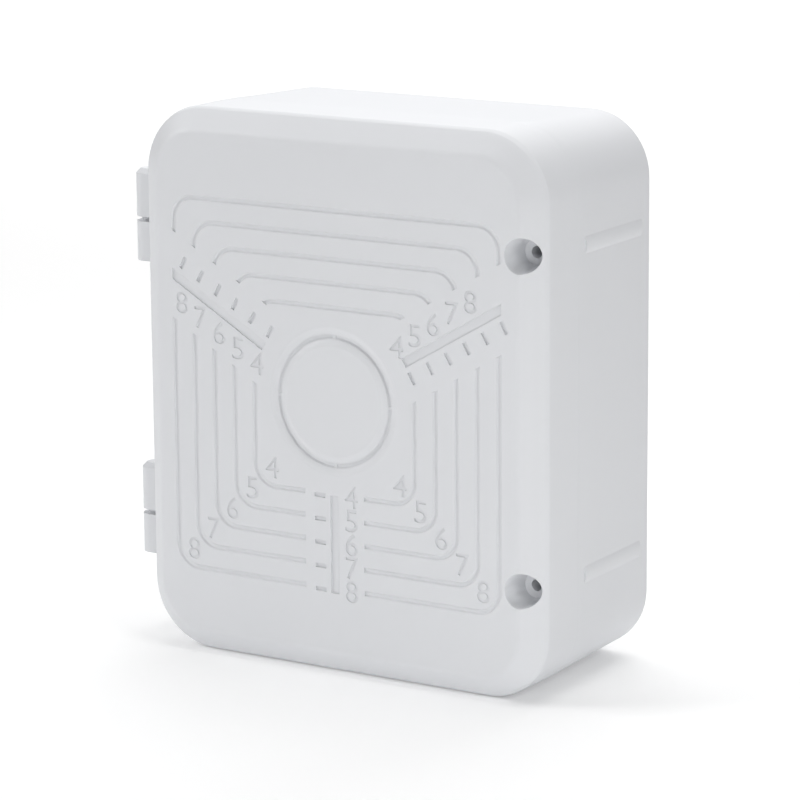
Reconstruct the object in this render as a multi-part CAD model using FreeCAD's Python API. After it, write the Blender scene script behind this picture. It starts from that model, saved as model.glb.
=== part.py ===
import FreeCAD, Part
import math
import os

# Wall box with a hinged front cover that carries a dome camera, in millimetres.
# Origin at the centre of the rear wall face, front towards -Y, up is +Z.
V = FreeCAD.Vector

# Outside of the housing.
cover_width = 195.0
cover_height = 233.0
total_depth = 94.0
cover_depth = 31.0
parting_gap = 0.15
corner_radius = 29.0
chamfer_in = 9.6
chamfer_deep = 7.5
face_edge_round = 4.4
base_draft_deg = 1.9
lip_bevel_in = 0.4
lip_bevel_deep = 3.0

# Walls and the flat rim where the two halves meet.
wall = 3.0
rim_width = 7.0
rim_thick = 5.0
seal_inset = 2.0
seal_width = 2.5
seal_depth = 2.6
seal_gap = 0.1
seal_side_gap = 0.05

# The two cover screws on the right, in sunk holes.
screw_inset = 8.5
screw_from_end = 48.4
screw_mouth_r = 7.4
screw_floor_r = 5.5
screw_sink = 13.0
screw_clear_r = 2.45
screw_keepout = 2.5
column_r = 8.0
insert_r = 3.5
insert_length = 9.0
insert_thread_r = 1.65
rib_proud = 0.8
rib_start = 5.6
rib_rear_gap = 2.5

# Hinges on the left.
hinge_out = 11.2
hinge_forward = 7.0
barrel_r = 5.5
hinge_from_end = 52.5
knuckle_cover_height = 20.5
knuckle_base_height = 17.0
knuckle_gap = 2.0
pin_r = 1.5
pin_running = 0.05
pin_end_gap = 1.0
pin_seat = 13.0
knuckle_lug_gap = 0.6
knuckle_chamfer = 2.0
collar_r = 3.4
collar_gap = 0.1

# Marks on the cover: one unit step per ten millimetres from the middle.
mark_pitch = 10.0
mark_first = 4
mark_last = 8
mark_shift = 0.9
mark_width = 2.3
mark_floor = 1.1
mark_depth = 0.7
mark_corner = 10.0
slant_keepout = 16.0
foot_keepout = 14.5
ruler_width = 4.0
ruler_start = 39.5
slant_ruler_x = 80.0
foot_ruler_end = 81.0
slant_ticks_last = 9
tick_width = 1.7
tick_near = 4.4
tick_far = 9.7
knockout_r = 27.0
knockout_width = 7.2
knockout_slot = 1.8
knockout_depth = 0.8
knockout_slot_depth = 0.6
knockout_tab = 1.4

# Inside: wall screw holes, stiffening ribs and the cable entry.
wall_hole_x = 78.0
wall_hole_z = 97.0
wall_hole_r = 2.6
wall_pad_half = 7.0
wall_pad_high = 2.5
rib_thick = 2.0
rib_high = 5.0
rib_below_rim = 14.0
rib_step_x = 28.0
rib_step_z = 44.0
entry_y = -21.0
entry_hole_r = 7.5
grommet_flange_r = 10.0
grommet_flange = 1.2
grommet_lip_r = 8.8
grommet_lip = 1.6
grommet_cup_r = 4.5
grommet_skin = 1.4

# Everything below follows from the sizes above.
half_w = cover_width / 2
half_h = cover_height / 2
y_front = -total_depth
y_rim = -(total_depth - cover_depth)
y_base = y_rim + parting_gap
y_skirt = y_front + chamfer_deep
draft = math.tan(math.radians(base_draft_deg))
screw_x = half_w - screw_inset
screw_z = half_h - screw_from_end
hinge_x = -(half_w + hinge_out)
hinge_y = y_rim - hinge_forward
hinge_z = half_h - hinge_from_end
signs = (1, -1)


def outline(inset, y):
    """Rounded rectangle of the housing, moved in by inset, in the plane Y = y."""
    return rounded(half_w - inset, half_h - inset, corner_radius - inset, y)


def rounded(hx, hz, r, y):
    """Closed rounded rectangle with half sizes hx and hz in the plane Y = y."""
    k = r * (1 - math.sqrt(0.5))
    edges = []
    corners = ((1, -1), (1, 1), (-1, 1), (-1, -1))
    for n, (sx, sz) in enumerate(corners):
        ends = [V(sx * (hx - r), y, sz * hz), V(sx * hx, y, sz * (hz - r))]
        if sx * sz > 0:
            ends.reverse()
        mid = V(sx * (hx - k), y, sz * (hz - k))
        edges.append((ends[0], mid, ends[1]))
    parts = []
    for n in range(4):
        start, mid, end = edges[n]
        parts.append(Part.Arc(start, mid, end).toShape())
        parts.append(Part.LineSegment(end, edges[(n + 1) % 4][0]).toShape())
    return Part.Wire(parts)


def prism(wire, y_to):
    """Solid from a wire in a plane of constant Y, carried to Y = y_to."""
    y_from = wire.Vertexes[0].Point.y
    return Part.Face(wire).extrude(V(0, y_to - y_from, 0))


def taper(wire_a, wire_b):
    """Straight-sided solid between two matching wires."""
    return Part.makeLoft([wire_a, wire_b], True, True)


def rod(x, z, r, y_a, y_b):
    """Cylinder along Y."""
    return Part.makeCylinder(r, abs(y_b - y_a), V(x, min(y_a, y_b), z), V(0, 1, 0))


def post(x, y, r, z_a, z_b):
    """Cylinder along Z."""
    return Part.makeCylinder(r, abs(z_b - z_a), V(x, y, min(z_a, z_b)), V(0, 0, 1))


def block(x_a, x_b, y_a, y_b, z_a, z_b):
    """Box between two corners."""
    size = [abs(x_b - x_a), abs(y_b - y_a), abs(z_b - z_a)]
    return Part.makeBox(size[0], size[1], size[2], V(min(x_a, x_b), min(y_a, y_b), min(z_a, z_b)))


def rounded_path(points):
    """Closed wire in the plane Z = 0 through (x, y, radius) corners, each rounded by its radius."""
    edges = []
    spots = [V(x, y, 0) for x, y, r in points]
    ends = []
    for n, corner in enumerate(spots):
        before = (spots[n - 1] - corner).normalize()
        after = (spots[(n + 1) % len(spots)] - corner).normalize()
        radius = points[n][2]
        if radius == 0:
            ends.append((corner, corner))
            continue
        half = before.getAngle(after) / 2
        start = corner + before * (radius / math.tan(half))
        end = corner + after * (radius / math.tan(half))
        middle = corner + (before + after).normalize() * (radius / math.sin(half) - radius)
        edges.append(Part.Arc(start, middle, end).toShape())
        ends.append((start, end))
    for n in range(len(spots)):
        edges.append(Part.LineSegment(ends[n][1], ends[(n + 1) % len(spots)][0]).toShape())
    return Part.Wire(Part.__sortEdges__(edges))


def moulded(points):
    """Rounded box whose side follows one profile all the way round.

    A profile corner is (distance from the corner's centre, Y, radius), from the middle out and back.
    """
    face = Part.Face(rounded_path(points))
    quarter = face.revolve(V(0, 0, 0), V(0, 1, 0), 90)
    cx = half_w - corner_radius
    cz = half_h - corner_radius
    turns = ((cx, -cz, V(0, 0, 2 * cz)), (-cx, -cz, V(2 * cx, 0, 0)),
             (-cx, cz, V(0, 0, -2 * cz)), (cx, cz, V(-2 * cx, 0, 0)))
    pieces = []
    for n, (x, z, run) in enumerate(turns):
        for piece in (quarter.copy(), face.copy().extrude(V(0, 0, run.Length))):
            piece.rotate(V(0, 0, 0), V(0, 1, 0), 90 * n)
            piece.translate(V(x, 0, z))
            pieces.append(piece)
    levels = [y for x, y, r in points]
    core = block(-cx, cx, min(levels), max(levels), -cz, cz)
    return core.fuse(pieces).removeSplitter()


def inside_rim(inset, y_a, y_b):
    """Area inside the rim at a distance from its edge; it passes inboard of the cover screws."""
    area = prism(outline(inset, y_a), y_b)
    keep = screw_keepout + inset
    for s in signs:
        area = area.cut(rod(screw_x, s * screw_z, keep, y_a, y_b))
        area = area.cut(block(screw_x, half_w, y_a, y_b, s * screw_z - keep, s * screw_z + keep))
    return area


# Cover: skirt, chamfer and flat face in one moulding.
def cover_outside():
    edge = corner_radius
    return moulded([(0, y_rim, 0), (edge, y_rim, 0), (edge, y_skirt, 0),
                    (edge - chamfer_in, y_front, face_edge_round), (0, y_front, 0)])


def cover_inside():
    """Hollow of the cover, one wall inside the skirt, the chamfer and the face."""
    slope = chamfer_deep / chamfer_in
    shift = wall * math.sqrt(1 + slope * slope)
    y_turn = y_skirt - slope * wall + shift
    edge = corner_radius - wall
    inset_inner = (chamfer_deep + shift - wall) / slope
    return moulded([(0, y_rim + 1, 0), (edge, y_rim + 1, 0), (edge, y_turn, 0),
                    (corner_radius - inset_inner, y_front + wall, 0), (0, y_front + wall, 0)])


def screw_hole(s):
    """Sunk screw hole: a tapered mouth, then the clearance bore to the rim."""
    rise = (screw_mouth_r - screw_floor_r) / screw_sink
    start = 1.0
    mouth = Part.makeCone(screw_mouth_r + rise * start, screw_floor_r, screw_sink + start,
                          V(screw_x, y_front - start, s * screw_z), V(0, 1, 0))
    return mouth.fuse(rod(screw_x, s * screw_z, screw_clear_r, y_front, y_rim + 1))


# Engraved marks on the face.
def mark_frame(half, corner):
    """Groove with sloped walls that runs round a rounded square."""
    lift = 0.3
    grow = (mark_width - mark_floor) / 2 / mark_depth * lift
    top = mark_width / 2 + grow
    low = mark_floor / 2
    rings = []
    for sign in signs:
        rings.append(taper(rounded(half + sign * top, half + sign * top, corner + sign * top, y_front - lift),
                           rounded(half + sign * low, half + sign * low, corner + sign * low,
                                   y_front + mark_depth)))
    return rings[0].cut(rings[1])


def strip(angle, u_a, u_b, v_a, v_b, y_a, y_b):
    """Block along a direction in the face, u along it and v across it."""
    bar = block(u_a, u_b, y_a, y_b, v_a, v_b)
    bar.rotate(V(0, 0, 0), V(0, 1, 0), -angle)
    return bar


def marks():
    cutters = []
    for n in range(mark_first, mark_last + 1):
        cutters.append(mark_frame(mark_pitch * n - mark_shift, mark_corner))
    reach = mark_pitch * (mark_last + 6)
    y_a = y_front - 2
    y_b = y_front + 2
    keep = [strip(a, 0, reach, -w, w, y_a, y_b)
            for a, w in ((30, slant_keepout), (150, slant_keepout), (-90, foot_keepout))]
    lines = Part.makeCompound(cutters)
    for k in keep:
        lines = lines.cut(k)
    top = y_front - 1
    floor = y_front + mark_depth
    bars = []
    between = block(-slant_ruler_x, slant_ruler_x, top, floor, -half_h, half_h)
    for angle, last, ticks in ((30, reach, slant_ticks_last), (150, reach, slant_ticks_last),
                               (-90, foot_ruler_end, mark_last)):
        bars.append(strip(angle, ruler_start, last, -ruler_width / 2, ruler_width / 2, top, floor).common(between))
        for n in range(mark_first, ticks + 1):
            u = n * mark_pitch
            bars.append(strip(angle, u - tick_width / 2, u + tick_width / 2,
                              -tick_far, -tick_near, top, floor))
    return lines, Part.makeCompound(bars)


def knockout():
    """Shallow ring with a thin slot round the disc that is knocked out for the cable; four tabs hold it."""
    lift = 0.3
    slot = knockout_slot / 2
    half = knockout_width / 2
    grow = (half - slot) / knockout_depth * lift
    y_slot = y_front + knockout_depth
    dish = ring([(knockout_r - half - grow, y_front - lift), (knockout_r + half + grow, y_front - lift),
                 (knockout_r + slot, y_slot), (knockout_r - slot, y_slot)])
    groove = ring([(knockout_r - slot, y_front - lift), (knockout_r + slot, y_front - lift),
                   (knockout_r + slot, y_slot + knockout_slot_depth), (knockout_r - slot, y_slot + knockout_slot_depth)])
    t = knockout_tab / 2
    reach = knockout_r + knockout_width
    for bar in (block(-reach, reach, y_front - 2, y_front + 2, -t, t),
                block(-t, t, y_front - 2, y_front + 2, -reach, reach)):
        groove = groove.cut(bar)
    return dish, groove


def ring(profile):
    """Ring round the Y axis with a profile of (radius, Y) corners."""
    points = [V(x, y, 0) for x, y in profile]
    return Part.Face(Part.makePolygon(points + points[:1])).revolve(V(0, 0, 0), V(0, 1, 0), 360)


# Hinges: the cover has the upper knuckle of each pair, the box the lower one.
def knuckle_levels(s):
    base_top = s * hinge_z - knuckle_gap / 2
    cover_bottom = s * hinge_z + knuckle_gap / 2
    return base_top - knuckle_base_height, base_top, cover_bottom, cover_bottom + knuckle_cover_height


def cover_knuckle(s):
    low, low_top, high_bottom, high = knuckle_levels(s)
    barrel = post(hinge_x, hinge_y, barrel_r, high_bottom, high)
    web = block(hinge_x, -half_w + wall / 2, hinge_y - barrel_r, hinge_y + barrel_r * 0.6, high_bottom, high)
    body = barrel.fuse(web).removeSplitter()
    top = [e for e in body.Edges if all(abs(v.Point.z - high) < 1e-4 for v in e.Vertexes)
           and e.CenterOfMass.x < -half_w]
    return body.makeChamfer(knuckle_chamfer, top)


def cover_pin_hole(s):
    low, low_top, high_bottom, high = knuckle_levels(s)
    return post(hinge_x, hinge_y, pin_r + pin_running, high_bottom - 1, high_bottom + pin_seat + pin_end_gap)


def base_knuckle(s):
    low, low_top, high_bottom, high = knuckle_levels(s)
    left = hinge_x - barrel_r
    inner = -half_w - knuckle_lug_gap
    root = -half_w + wall / 2
    y_tip = hinge_y - barrel_r
    outline_points = [(hinge_x, y_tip), (inner, y_tip), (inner, y_base), (root, y_base),
                      (root, y_base + 16), (inner, y_base + 15), (left, y_base + 5), (left, hinge_y)]
    points = [V(x, y, low) for x, y in outline_points]
    web = Part.Face(Part.makePolygon(points + points[:1])).extrude(V(0, 0, low_top - low))
    body = web.fuse(post(hinge_x, hinge_y, barrel_r, low, low_top)).removeSplitter()
    swing = post(hinge_x, hinge_y, hinge_out - knuckle_lug_gap, low, low_top)
    corner = block(hinge_x, -half_w, y_tip, hinge_y, low, low_top).cut(swing)
    body = body.cut(corner)
    collar = post(hinge_x, hinge_y, collar_r, low_top - 1, high_bottom - collar_gap)
    return body.fuse(collar)


def base_pin_hole(s):
    low, low_top, high_bottom, high = knuckle_levels(s)
    return post(hinge_x, hinge_y, pin_r, low_top - pin_seat, high)


def hinge_pin(s):
    low, low_top, high_bottom, high = knuckle_levels(s)
    return post(hinge_x, hinge_y, pin_r, low_top - pin_seat, high_bottom + pin_seat)


def front_cover():
    outside = cover_outside()
    body = outside.cut(cover_inside())
    rim = prism(outline(0, y_rim), y_rim - rim_thick).cut(inside_rim(rim_width, y_rim + 1, y_rim - rim_thick - 1))
    body = body.fuse(rim)
    for s in signs:
        column = rod(screw_x, s * screw_z, column_r, y_front, y_rim).common(outside)
        body = body.fuse(column)
        body = body.fuse(cover_knuckle(s))
    for s in signs:
        body = body.cut(screw_hole(s))
        body = body.cut(cover_pin_hole(s))
    channel = inside_rim(seal_inset, y_rim + 1, y_rim - seal_depth).cut(
        inside_rim(seal_inset + seal_width, y_rim + 1, y_rim - seal_depth))
    body = body.cut(channel)
    for cutter in marks() + knockout():
        body = body.cut(cutter)
    return body


def sealing_gasket():
    y_low = y_base - seal_gap
    outer = inside_rim(seal_inset + seal_side_gap, y_low, y_rim - seal_depth)
    inner = inside_rim(seal_inset + seal_width - seal_side_gap, y_low, y_rim - seal_depth)
    return outer.cut(inner)


# Box: a drafted tray with screw posts that show as soft ribs on the right side.
def base_edge(inset, y):
    """Distance of the drafted side from the corner's centre, one inset inside the outer face."""
    return corner_radius - inset - (y - y_base) * draft


def base_outside():
    """Drafted outside with a slight bevel along the open edge."""
    y_bevel = y_base + lip_bevel_deep
    return moulded([(0, y_base, 0), (base_edge(lip_bevel_in, y_base), y_base, 0), (base_edge(0, y_bevel), y_bevel, 0),
                    (base_edge(0, 0), 0, 0), (0, 0, 0)])


def base_inside():
    y_open = y_base - 1
    return moulded([(0, y_open, 0), (base_edge(wall, y_open), y_open, 0), (base_edge(wall, -wall), -wall, 0),
                    (0, -wall, 0)])


def screw_rib(s, outside):
    """Screw post that follows the drafted side wall and stands a little proud of it."""
    y_a = y_base
    y_b = -rib_rear_gap
    x_a = half_w - (y_a - y_base) * draft + rib_proud - column_r
    x_b = half_w - (y_b - y_base) * draft + rib_proud - column_r
    start = V(x_a, y_a, s * screw_z)
    along = V(x_b - x_a, y_b - y_a, 0)
    rib = Part.makeCylinder(column_r, along.Length, start - along * 0.1, along)
    reach = half_w + column_r
    rib = rib.common(block(0, reach, y_a, y_b, -half_h, half_h))
    proud = block(x_b, half_w + column_r, y_a - 1, y_a + rib_start, s * screw_z - column_r, s * screw_z + column_r)
    return rib.cut(proud.cut(outside))


def entry(r, t_a, t_b):
    """Cylinder square to the drafted bottom of the box, between two depths from its outer face."""
    spot = V(0, entry_y, -(half_h - (entry_y - y_base) * draft))
    inward = V(0, -draft, 1).normalize()
    return Part.makeCylinder(r, t_b - t_a, spot + inward * t_a, inward)


def stiffeners():
    """Thin ribs inside the top, bottom and left walls."""
    y_a = y_base + rib_below_rim
    t = rib_thick / 2
    reach_x = half_w - wall - rib_high - (0 - y_base) * draft
    reach_z = half_h - wall - rib_high - (0 - y_base) * draft
    ribs = []
    for x in (-rib_step_x, rib_step_x):
        ribs += [block(x - t, x + t, y_a, -wall / 2, sz * reach_z, sz * half_h) for sz in signs]
    for z in (-rib_step_z, 0, rib_step_z):
        ribs.append(block(-reach_x, -half_w, y_a, -wall / 2, z - t, z + t))
    return ribs


def base_box():
    outside = base_outside()
    body = outside.cut(base_inside())
    rim = prism(outline(0, y_base), y_base + rim_thick).cut(inside_rim(rim_width, y_base - 1, y_base + rim_thick + 1))
    body = body.fuse([rim.common(outside)] + [rib.common(outside) for rib in stiffeners()])
    for s in signs:
        body = body.fuse([screw_rib(s, outside), base_knuckle(s)])
    cuts = []
    pads = []
    for sx in signs:
        for sz in signs:
            x = sx * wall_hole_x
            z = sz * wall_hole_z
            h = wall_pad_half
            pads.append(block(x - h, x + h, -wall - wall_pad_high, -wall / 2, z - h, z + h))
            cuts.append(rod(x, z, wall_hole_r, 1, -wall - wall_pad_high - 1))
    cuts.append(entry(entry_hole_r, -1, wall + 1))
    for s in signs:
        cuts.append(rod(screw_x, s * screw_z, insert_r, y_base - 1, y_base + insert_length))
        cuts.append(base_pin_hole(s))
    body = body.fuse(pads)
    for cutter in cuts:
        body = body.cut(cutter)
    return body


def screw_insert(s):
    """Brass thread insert, flush with the rim."""
    body = rod(screw_x, s * screw_z, insert_r, y_base, y_base + insert_length)
    return body.cut(rod(screw_x, s * screw_z, insert_thread_r, y_base - 1, y_base + insert_length + 1))


def cable_grommet():
    """Rubber grommet with a cup and a thin skin that the cable is pushed through."""
    through = wall / math.sqrt(1 + draft * draft)
    flange = entry(grommet_flange_r, -grommet_flange, 0)
    neck = entry(entry_hole_r, 0, through)
    lip = entry(grommet_lip_r, through, through + grommet_lip)
    cup = entry(grommet_cup_r, -grommet_flange - 1, through + grommet_lip - grommet_skin)
    return flange.fuse([neck, lip]).cut(cup)


parts = {
    "base_box": base_box(),
    "front_cover": front_cover(),
    "sealing_gasket": sealing_gasket(),
    "hinge_pin_upper": hinge_pin(1),
    "hinge_pin_lower": hinge_pin(-1),
    "screw_insert_upper": screw_insert(1),
    "screw_insert_lower": screw_insert(-1),
    "cable_grommet": cable_grommet(),
}

os.makedirs("parts", exist_ok=True)
for name, shape in parts.items():
    if len(shape.Solids) == 1:
        shape = shape.Solids[0]
    print(name, "solids", len(shape.Solids), "valid", shape.isValid(), "volume", round(shape.Volume))
    shape.exportStep("parts/" + name + ".step")
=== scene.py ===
import math

import bmesh
import bpy
from mathutils import Matrix, Quaternion, Vector


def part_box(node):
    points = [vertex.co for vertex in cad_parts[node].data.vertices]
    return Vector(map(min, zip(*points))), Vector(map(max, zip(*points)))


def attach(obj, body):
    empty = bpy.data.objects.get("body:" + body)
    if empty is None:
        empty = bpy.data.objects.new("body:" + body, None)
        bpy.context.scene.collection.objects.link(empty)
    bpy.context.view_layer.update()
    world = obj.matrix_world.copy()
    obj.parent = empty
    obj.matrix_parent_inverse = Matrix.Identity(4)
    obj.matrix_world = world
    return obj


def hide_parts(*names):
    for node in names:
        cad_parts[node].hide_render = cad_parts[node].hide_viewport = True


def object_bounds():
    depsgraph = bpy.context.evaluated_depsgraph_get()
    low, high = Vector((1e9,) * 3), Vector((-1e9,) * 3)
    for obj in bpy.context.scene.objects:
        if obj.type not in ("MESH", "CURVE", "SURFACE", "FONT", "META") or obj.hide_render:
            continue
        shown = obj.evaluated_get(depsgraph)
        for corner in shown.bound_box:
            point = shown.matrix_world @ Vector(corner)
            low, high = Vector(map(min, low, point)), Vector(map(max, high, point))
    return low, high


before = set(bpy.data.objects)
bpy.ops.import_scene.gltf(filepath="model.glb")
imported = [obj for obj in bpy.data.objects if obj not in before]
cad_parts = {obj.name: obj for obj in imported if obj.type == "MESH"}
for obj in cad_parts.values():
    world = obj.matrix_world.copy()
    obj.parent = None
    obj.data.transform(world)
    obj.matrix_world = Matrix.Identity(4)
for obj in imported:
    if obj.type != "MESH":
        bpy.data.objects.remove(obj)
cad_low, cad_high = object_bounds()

# The box for a dome camera: white moulded plastic, a hinged cover with engraved drilling marks.
# Metres throughout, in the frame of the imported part: X to the right, Y to the back, Z up.
MM = 0.001

# Vertices nearer than this become one: in the meshes that come from CAD, and in the cutters.
CAD_WELD = 0.002 * MM
CUTTER_WELD = 0.001 * MM
# Triangles that meet at less than this, in degrees, become one face.
FLAT_ANGLE = 0.05

# Digits engraved beside the rulers: centre of the first one and the step to the next, in the face.
DIGITS = (4, 5, 6, 7, 8)
DIGIT_RUNS = {
    "upper_left": ((-37.7, 12.0), (-9.4, 5.57)),
    "upper_right": ((30.9, 26.1), (8.75, 5.45)),
    "foot": ((8.3, -39.2), (0.0, -10.0)),
    "lower_left": ((-30.8, -31.0), (-10.1, -10.0)),
    "lower_right": ((32.1, -31.3), (9.9, -9.75)),
}
DIGIT_HEIGHT = 9.1 * MM
DIGIT_WIDTH = 5.8 * MM
DIGIT_FOUR_WIDTH = 6.38 * MM
DIGIT_DEPTH = 0.4 * MM
# In units of the typeface. Its strokes are thinned, because the 4 closes up without that.
TEXT_THINNING = -0.004
TEXT_THICKNESS = 0.1
TEXT_CURVE_STEPS = 6

# Outline of the housing, seen from the front: half sizes and corner.
HALF_WIDTH = 97.5 * MM
HALF_HEIGHT = 116.5 * MM
CORNER = 29.0 * MM

# Groove round the knock-out disc: a dish whose slopes (width, angle) steepen inwards, and a slot in its
# bottom that four tabs interrupt.
KNOCKOUT_RADIUS = 27.0 * MM
DISH_SLOPES = ((1.3 * MM, 14.0), (1.1 * MM, 24.0), (0.9 * MM, 33.0))
DISH_STEPS = 128
SLOT_HALF = 0.55 * MM
SLOT_DEPTH = 0.35 * MM
SLOT_STEPS = 31
TABS = 4
TAB_ANGLE = 3.2
# The dish's cutter starts this far in front of the face, and the slot's this far inside the dish.
DISH_LIFT = 0.4 * MM
SLOT_LIFT = 0.1 * MM

# Edges that the mould leaves rounded, all round the outline: level, how far inside the outline, radius.
COVER_EDGES = ((-86.5 * MM, 0.0, 2.2 * MM), (-63.0 * MM, 0.0, 0.35 * MM))
BOX_EDGES = ((-62.85 * MM, 0.4 * MM, 0.3 * MM), (0.0, 2.085 * MM, 1.5 * MM))
ROUND_STEPS = 4
# An edge counts as one of these when it lies this near to the place, and bends by this much, in radians.
EDGE_NEAR = 0.08 * MM
EDGE_BEND = 0.3

# Shading breaks where faces meet at more than this, in degrees, and the large faces settle the rest.
SHARP_ANGLE = 12.0
FACE_WEIGHT = 100

# Finest edge rounding of the plastic, which its material draws.
SOFT_EDGE = 0.35 * MM
SOFT_EDGE_SAMPLES = 6

# Camera, at the photograph's view.
VIEW_AZIMUTH = 32.6886
VIEW_ELEVATION = 12.2287
VIEW_ROLL = -0.4333
VIEW_DISTANCE = 1.51394
VIEW_TARGET = Vector((32.45, -94.0, 4.45)) * MM
VIEW_LENS = 168.63
VIEW_NEAREST = 0.05
VIEW_FARTHEST = 60.0
SENSOR_WIDTH = 36.0

# Soft panels of the studio: name, place, target, width, height, watts.
PANELS = (
    ("above", (0.1, 0.05, 0.75), (0.1, 0.0, 0.0), 0.8, 0.6, 4.1),
    ("behind", (-1.25, 2.2, 1.3), (-1.25, 2.2, 0.0), 3.2, 3.0, 55.0),
    ("high_left", (-1.1, -0.7, 0.7), (0.0, -0.06, 0.0), 0.6, 0.5, 8.4),
    ("high_right", (1.6, -0.5, 1.0), (0.0, -0.06, 0.0), 0.8, 0.6, 6.6),
    ("high_front", (0.9, -1.4, 0.9), (0.0, -0.06, 0.0), 0.8, 0.6, 3.2),
    ("low_front", (0.28, -0.55, -0.085), (0.02, -0.094, 0.0), 0.5, 0.06, 0.55),
    ("low_right", (0.55, -0.2, -0.085), (0.09, -0.04, 0.0), 0.5, 0.06, 0.14),
)
FLOOR_HALF = 30.0
FLOOR_SHADE = 0.95
FLOOR_GLOW = 0.14
AIR_LIGHT = 0.03


class Wire:
    """An output socket whose sums and products add Math nodes."""

    def __init__(self, finish, socket):
        self.finish = finish
        self.socket = socket

    def maths(self, operation, first, second):
        return self.finish.node("ShaderNodeMath", {"operation": operation}, {0: first, 1: second})

    def __add__(self, other):
        return self.maths("ADD", self, other)

    def __mul__(self, other):
        return self.maths("MULTIPLY", self, other)

    __radd__ = __add__
    __rmul__ = __mul__


class Finish:
    """One procedural material, built from the place on the piece."""

    def __init__(self, name):
        self.material = bpy.data.materials.new(name)
        self.material.use_nodes = True
        self.tree = self.material.node_tree
        self.tree.nodes.clear()
        self.place = self.node("ShaderNodeTexCoord", output="Object")

    def node(self, kind, settings=None, sockets=None, output=0):
        """Adds a node with its settings, and its sockets set to values or wired."""
        made = self.tree.nodes.new(kind)
        for key, value in (settings or {}).items():
            setattr(made, key, value)
        for key, value in (sockets or {}).items():
            if isinstance(value, Wire):
                self.tree.links.new(value.socket, made.inputs[key])
            else:
                made.inputs[key].default_value = value
        return Wire(self, made.outputs[output]) if made.outputs else made

    def noise(self, scale, detail):
        return self.node("ShaderNodeTexNoise", {"noise_dimensions": "3D"},
                         {"Vector": self.place, "Scale": scale, "Detail": detail, "Roughness": 0.5},
                         output="Fac")

    def mix(self, factor, first, second):
        """Blend of two colours. Sockets 0, 6 and 7 and output 2 are the node's ones for colour."""
        return self.node("ShaderNodeMix", {"data_type": "RGBA"}, {0: factor, 6: first, 7: second}, output=2)

    def bump(self, height, distance, strength, normal=None):
        sockets = {"Height": height, "Distance": distance, "Strength": strength}
        if normal is not None:
            sockets["Normal"] = normal
        return self.node("ShaderNodeBump", {}, sockets)

    def surface(self, **sockets):
        """Ends the material: base_color stands for the shader's socket Base Color, and so on."""
        names = {key.replace("_", " ").title(): value for key, value in sockets.items()}
        shader = self.node("ShaderNodeBsdfPrincipled", {}, names)
        self.node("ShaderNodeOutputMaterial", {}, {"Surface": shader})
        return self.material


def colour(r, g, b):
    return (r, g, b, 1.0)


def white_plastic():
    """Moulded ABS: nearly plain, with a fine eroded grain and softened edges."""
    f = Finish("white_abs_moulded")
    cloud = f.noise(22.0, 3.0)
    grain = f.noise(2600.0, 2.0)
    shade = f.mix(cloud, colour(0.722, 0.732, 0.754), colour(0.738, 0.748, 0.770))
    edge = f.node("ShaderNodeBevel", {"samples": SOFT_EDGE_SAMPLES}, {"Radius": SOFT_EDGE})
    return f.surface(base_color=shade, roughness=0.44 + 0.08 * grain,
                     normal=f.bump(grain, 0.012 * MM, 0.5, edge))


def dark_rubber():
    """Closed-cell sealing strip."""
    f = Finish("seal_rubber_foam")
    pores = f.noise(3500.0, 3.0)
    shade = f.mix(pores, colour(0.018, 0.018, 0.02), colour(0.05, 0.05, 0.053))
    return f.surface(base_color=shade, roughness=0.8, normal=f.bump(pores, 0.06 * MM, 0.7))


def grey_rubber():
    """Moulded grommet rubber."""
    f = Finish("grommet_rubber_grey")
    dust = f.noise(500.0, 4.0)
    shade = f.mix(dust, colour(0.17, 0.175, 0.18), colour(0.25, 0.255, 0.26))
    return f.surface(base_color=shade, roughness=0.6 + 0.15 * dust, normal=f.bump(dust, 0.03 * MM, 0.5))


def plain_steel():
    """Bright drawn steel of the hinge pins."""
    f = Finish("steel_drawn")
    drawn = f.noise(900.0, 2.0)
    shade = f.mix(drawn, colour(0.55, 0.55, 0.56), colour(0.68, 0.68, 0.69))
    return f.surface(base_color=shade, metallic=1.0, roughness=0.26 + 0.14 * drawn)


def plain_brass():
    """Turned brass of the thread inserts."""
    f = Finish("brass_turned")
    turning = f.noise(1200.0, 2.0)
    shade = f.mix(turning, colour(0.56, 0.36, 0.12), colour(0.72, 0.5, 0.2))
    return f.surface(base_color=shade, metallic=1.0, roughness=0.28 + 0.15 * turning)


def dress(piece, material):
    """Gives the piece its only material."""
    piece.data.materials.clear()
    piece.data.materials.append(material)


def new_object(name, data):
    """Puts a mesh, text, light or camera into the scene."""
    made = bpy.data.objects.new(name, data)
    bpy.context.scene.collection.objects.link(made)
    return made


def finished_mesh(piece):
    """The piece's mesh with its modifiers applied."""
    shown = piece.evaluated_get(bpy.context.evaluated_depsgraph_get())
    return bpy.data.meshes.new_from_object(shown)


def mesh_from(bm, name):
    """Turns the edited geometry into a mesh."""
    mesh = bpy.data.meshes.new(name)
    bm.to_mesh(mesh)
    bm.free()
    return mesh


def outline_gap(spot):
    """How far a spot lies inside the housing's outline, seen from the front."""
    past_x = abs(spot.x) - (HALF_WIDTH - CORNER)
    past_z = abs(spot.z) - (HALF_HEIGHT - CORNER)
    outside = math.hypot(max(past_x, 0.0), max(past_z, 0.0))
    return CORNER - outside - min(max(past_x, past_z), 0.0)


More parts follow.
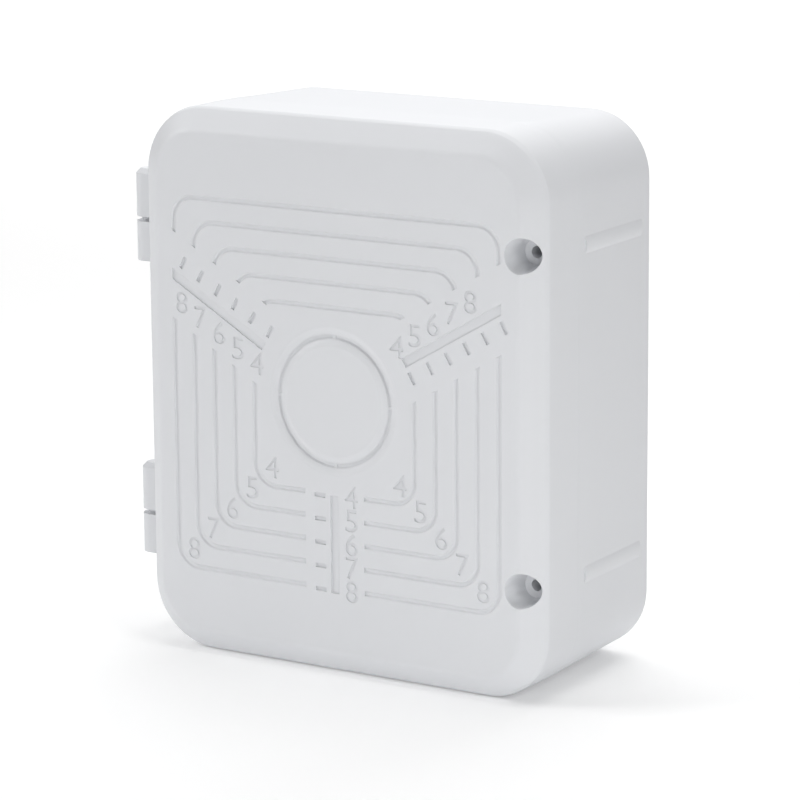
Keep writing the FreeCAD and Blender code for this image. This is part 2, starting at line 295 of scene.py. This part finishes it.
def round_edge(bm, level, inside, radius):
    """Rounds the sharp edge that runs round the housing at one level."""

    def on_loop(corner):
        return abs(corner.co.y - level) < EDGE_NEAR and abs(outline_gap(corner.co) - inside) < EDGE_NEAR

    loop = [edge for edge in bm.edges
            if all(on_loop(corner) for corner in edge.verts)
            and len(edge.link_faces) == 2 and edge.calc_face_angle() > EDGE_BEND]
    bmesh.ops.bevel(bm, geom=loop, offset=radius, offset_type="OFFSET", affect="EDGES", segments=ROUND_STEPS,
                    profile=0.5, material=-1, clamp_overlap=True)


def merged_copy(node, name, edges):
    """Copy of a CAD node with its loose triangles joined into clean faces and its outer edges rounded."""
    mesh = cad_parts[node].data.copy()
    if "custom_normal" in mesh.attributes:
        mesh.attributes.remove(mesh.attributes["custom_normal"])
    bm = bmesh.new()
    bm.from_mesh(mesh)
    bmesh.ops.remove_doubles(bm, verts=bm.verts, dist=CAD_WELD)
    bmesh.ops.dissolve_limit(bm, angle_limit=math.radians(FLAT_ANGLE), verts=bm.verts, edges=bm.edges)
    for level, inside, radius in edges:
        round_edge(bm, level, inside, radius)
    bm.to_mesh(mesh)
    bm.free()
    return new_object(name, mesh)


def digit_cutter(digit, x, z, face_y):
    """One digit as a solid, half of it in front of the face and half inside it."""
    text = bpy.data.curves.new("digit", "FONT")
    text.body = str(digit)
    text.extrude = TEXT_THICKNESS
    text.offset = TEXT_THINNING
    text.resolution_u = TEXT_CURVE_STEPS
    shape = new_object("digit", text)
    mesh = finished_mesh(shape)
    bpy.data.objects.remove(shape)
    low = Vector(min(v.co[i] for v in mesh.vertices) for i in range(3))
    high = Vector(max(v.co[i] for v in mesh.vertices) for i in range(3))
    size = high - low
    width = DIGIT_FOUR_WIDTH if digit == 4 else DIGIT_WIDTH
    scale = Matrix.Diagonal((width / size.x, DIGIT_HEIGHT / size.y, 2 * DIGIT_DEPTH / size.z, 1))
    stand = Matrix.Rotation(math.radians(90), 4, "X")
    place = Matrix.Translation((x, face_y, z))
    mesh.transform(place @ stand @ scale @ Matrix.Translation(-(low + high) / 2))
    return mesh


def digits_cutter(face_y):
    """Every digit of the cover as one mesh."""
    bm = bmesh.new()
    for start, step in DIGIT_RUNS.values():
        for index, digit in enumerate(DIGITS):
            x = (start[0] + index * step[0]) * MM
            z = (start[1] + index * step[1]) * MM
            bm.from_mesh(digit_cutter(digit, x, z, face_y))
    bmesh.ops.remove_doubles(bm, verts=bm.verts, dist=CUTTER_WELD)
    bmesh.ops.recalc_face_normals(bm, faces=bm.faces)
    return mesh_from(bm, "digits")


def turned(profile, arcs, steps):
    """Solids of a closed profile of (radius, Y) corners, turned about the disc's axis over each arc."""
    bm = bmesh.new()
    for start, angle in arcs:
        turn = Matrix.Rotation(math.radians(start), 3, "Y")
        corners = [bm.verts.new(turn @ Vector((r, y, 0.0))) for r, y in profile]
        edges = [bm.edges.new((corners[n - 1], corners[n])) for n in range(len(corners))]
        bmesh.ops.spin(bm, geom=corners + edges, cent=(0, 0, 0), axis=(0, 1, 0), angle=math.radians(angle),
                       steps=steps, use_merge=angle >= 360.0)
    bmesh.ops.remove_doubles(bm, verts=bm.verts, dist=CUTTER_WELD)
    bmesh.ops.holes_fill(bm, edges=[edge for edge in bm.edges if edge.is_boundary], sides=0)
    bmesh.ops.recalc_face_normals(bm, faces=bm.faces)
    return mesh_from(bm, "knockout")


def knockout_cutters(face_y):
    """The dish, and the slot in an arc from tab to tab, as closed solids."""
    out = SLOT_HALF + sum(width for width, slope in DISH_SLOPES)
    deep = 0.0
    shoulder = [(out + DISH_LIFT / math.tan(math.radians(DISH_SLOPES[0][1])), -DISH_LIFT)]
    for width, slope in DISH_SLOPES:
        out -= width
        deep += width * math.tan(math.radians(slope))
        shoulder.append((out, deep))
    dish = [(KNOCKOUT_RADIUS - out, face_y + deep) for out, deep in shoulder]
    dish += [(KNOCKOUT_RADIUS + out, face_y + deep) for out, deep in reversed(shoulder)]
    low = face_y + shoulder[-1][1] - SLOT_LIFT
    inner = KNOCKOUT_RADIUS - SLOT_HALF
    outer = KNOCKOUT_RADIUS + SLOT_HALF
    slot = [(inner, low), (outer, low), (outer, low + SLOT_DEPTH), (inner, low + SLOT_DEPTH)]
    pitch = 360.0 / TABS
    arcs = [(pitch * n + TAB_ANGLE / 2, pitch - TAB_ANGLE) for n in range(TABS)]
    return [turned(dish, [(0.0, 360.0)], DISH_STEPS), turned(slot, arcs, SLOT_STEPS)]


def cut(piece, mesh):
    """Takes a closed mesh away from a piece."""
    cutter = new_object("cutter", mesh)
    away = piece.modifiers.new("cut", "BOOLEAN")
    away.operation = "DIFFERENCE"
    away.solver = "EXACT"
    away.object = cutter
    left = finished_mesh(piece)
    piece.modifiers.clear()
    bpy.data.objects.remove(cutter)
    piece.data = left


def crisp(piece):
    """Smooth shading that breaks at real edges and keeps flat faces flat."""
    piece.data.shade_smooth()
    piece.data.set_sharp_from_angle(angle=math.radians(SHARP_ANGLE))
    weight = piece.modifiers.new("even_shading", "WEIGHTED_NORMAL")
    weight.keep_sharp = True
    weight.weight = FACE_WEIGHT


def make_cover(plastic):
    """The cover with its rounded edges, its knock-out groove and its digits."""
    cover = merged_copy("front_cover", "cover_engraved", COVER_EDGES)
    face_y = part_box("front_cover")[0][1]
    for mesh in knockout_cutters(face_y) + [digits_cutter(face_y)]:
        cut(cover, mesh)
    crisp(cover)
    dress(cover, plastic)
    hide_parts("front_cover")
    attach(cover, "cover")


def make_box(plastic):
    """The housing with its rounded edges."""
    box = merged_copy("base_box", "box_moulded", BOX_EDGES)
    crisp(box)
    dress(box, plastic)
    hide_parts("base_box")
    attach(box, "box")


def dress_small_pieces():
    """Materials for the pieces that stay as they come from CAD."""
    dress(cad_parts["sealing_gasket"], dark_rubber())
    steel = plain_steel()
    brass = plain_brass()
    for level in ("upper", "lower"):
        dress(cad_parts["hinge_pin_" + level], steel)
        dress(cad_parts["screw_insert_" + level], brass)
    dress(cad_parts["cable_grommet"], grey_rubber())


def make_camera():
    """Camera that looks at the cover from the photograph's side, with its small roll."""
    data = bpy.data.cameras.new("photo_view")
    data.lens = VIEW_LENS
    data.sensor_width = SENSOR_WIDTH
    data.clip_start = VIEW_NEAREST
    data.clip_end = VIEW_FARTHEST
    camera = new_object("photo_view", data)
    a = math.radians(VIEW_AZIMUTH)
    e = math.radians(VIEW_ELEVATION)
    back = Vector((math.sin(a) * math.cos(e), -math.cos(a) * math.cos(e), math.sin(e)))
    camera.location = VIEW_TARGET + back * VIEW_DISTANCE
    camera.rotation_mode = "QUATERNION"
    roll = Quaternion((0, 0, 1), math.radians(VIEW_ROLL))
    camera.rotation_quaternion = (-back).to_track_quat("-Z", "Y") @ roll
    bpy.context.scene.camera = camera


def soft_light(name, place, target, width, height, watts):
    """Soft panel that shines from its place towards a target."""
    data = bpy.data.lights.new(name, "AREA")
    data.shape = "RECTANGLE"
    data.size = width
    data.size_y = height
    data.energy = watts
    light = new_object(name, data)
    light.visible_camera = False
    light.location = place
    light.rotation_mode = "QUATERNION"
    light.rotation_quaternion = (Vector(target) - Vector(place)).to_track_quat("-Z", "Y")


def make_studio(floor_z):
    """Pale floor, soft panels and a little even light from all round."""
    bm = bmesh.new()
    bmesh.ops.create_grid(bm, x_segments=2, y_segments=2, size=FLOOR_HALF)
    bmesh.ops.translate(bm, verts=bm.verts, vec=(0, 0, floor_z))
    floor = new_object("studio_floor", mesh_from(bm, "studio_floor"))
    f = Finish("studio_table")
    fibre = f.noise(400.0, 2.0)
    dress(floor, f.surface(base_color=colour(FLOOR_SHADE, FLOOR_SHADE, FLOOR_SHADE), roughness=0.85,
                           emission_color=colour(1, 1, 1), emission_strength=FLOOR_GLOW,
                           normal=f.bump(fibre, 0.02 * MM, 0.2)))
    for panel in PANELS:
        soft_light(*panel)
    world = bpy.data.worlds.new("studio_air")
    world.use_nodes = True
    air = world.node_tree.nodes["Background"].inputs
    air["Color"].default_value = colour(1, 1, 1)
    air["Strength"].default_value = AIR_LIGHT
    bpy.context.scene.world = world
    bpy.context.scene.view_settings.view_transform = "Standard"


white = white_plastic()
make_cover(white)
make_box(white)
dress_small_pieces()
make_camera()
make_studio(cad_low.z)
